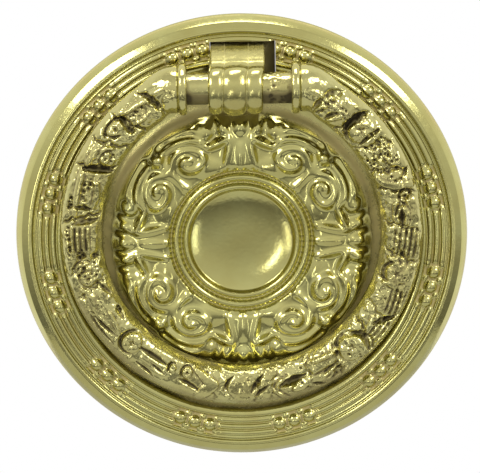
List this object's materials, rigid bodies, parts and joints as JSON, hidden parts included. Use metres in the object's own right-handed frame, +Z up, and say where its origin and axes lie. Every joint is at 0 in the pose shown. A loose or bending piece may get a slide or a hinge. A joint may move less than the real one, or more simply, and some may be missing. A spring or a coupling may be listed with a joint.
{
  "type": "ring pull handle",
  "caption": "Round cast brass ring pull for a drawer or cupboard: a swinging ornamented ring hangs from a ribbed hook on a stamped backplate with scroll rosette and reeded rim.",
  "frame": {"origin": "centre of the backplate, in the plane of its back edge that lies on the drawer front", "axes": "+Z up the drawer front, +Y into the drawer front, +X to the right seen from in front"},
  "size_m": [0.064, 0.0184, 0.064],
  "materials": {
    "plate_brass": "polished stamped brass with brown tarnish in the recesses",
    "ring_brass": "cast brass, polished edges and pitted relief",
    "hook_brass": "polished cast brass"
  },
  "bodies": {
    "plate": {"backplate": "plate_brass", "hinge_hook": "hook_brass"},
    "ring": {"ring": "ring_brass"}
  },
  "joints": [
    {"name": "ring_swing", "type": "hinge", "parent": "plate", "child": "ring", "pos_m": [0, -0.00564, 0.02243], "axis": [-1, 0, 0], "range_deg": [0, 180]}
  ]
}
